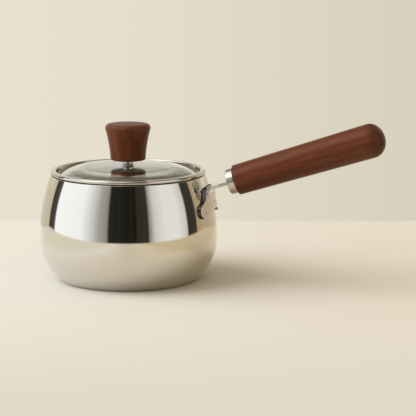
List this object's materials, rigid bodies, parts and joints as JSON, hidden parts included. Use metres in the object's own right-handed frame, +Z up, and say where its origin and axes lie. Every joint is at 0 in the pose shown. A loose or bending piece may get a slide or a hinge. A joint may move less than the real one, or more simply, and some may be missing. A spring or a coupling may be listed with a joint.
{
  "type": "milk pan",
  "caption": "Small round-bellied saucepan with a domed glass lid in a raised steel rim, a flared wooden lid knob, and one straight round wooden handle on a welded bracket.",
  "frame": {"origin": "centre of the pan's base, on the surface it stands on", "axes": "+X along the handle, away from the pan, +Z up along the pan's axis"},
  "size_m": [0.3238, 0.1668, 0.1515],
  "materials": {
    "polished_steel": "mirror-polished stainless steel",
    "satin_steel": "satin stainless steel",
    "plain_steel": "turned stainless steel",
    "heat_core": "rolled aluminium, bonded between the skins",
    "dark_wood": "oiled dark walnut",
    "lid_glass": "clear tempered glass",
    "silicone": "dark silicone",
    "clear_silicone": "pale translucent silicone",
    "brass": "turned brass"
  },
  "bodies": {
    "pan": {"pan_outer_skin": "polished_steel", "pan_core": "heat_core", "pan_inner_skin": "satin_steel", "handle_bracket": "polished_steel", "handle_tang": "polished_steel", "ferrule": "polished_steel", "handle_stud": "plain_steel", "grip_insert": "brass", "handle_grip": "dark_wood"},
    "lid": {"lid_rim_band": "polished_steel", "lid_seal": "silicone", "lid_edge_gasket": "clear_silicone", "lid_glass": "lid_glass", "knob_upper_washer": "clear_silicone", "knob_spacer": "polished_steel", "knob": "dark_wood", "knob_insert": "brass", "knob_screw": "plain_steel", "knob_steel_washer": "plain_steel", "knob_lower_washer": "silicone"}
  },
  "joints": [
    {"name": "lid_lift", "type": "slide", "parent": "pan", "child": "lid", "axis": [0, 0, 1], "range_m": [0, 0.12]}
  ]
}
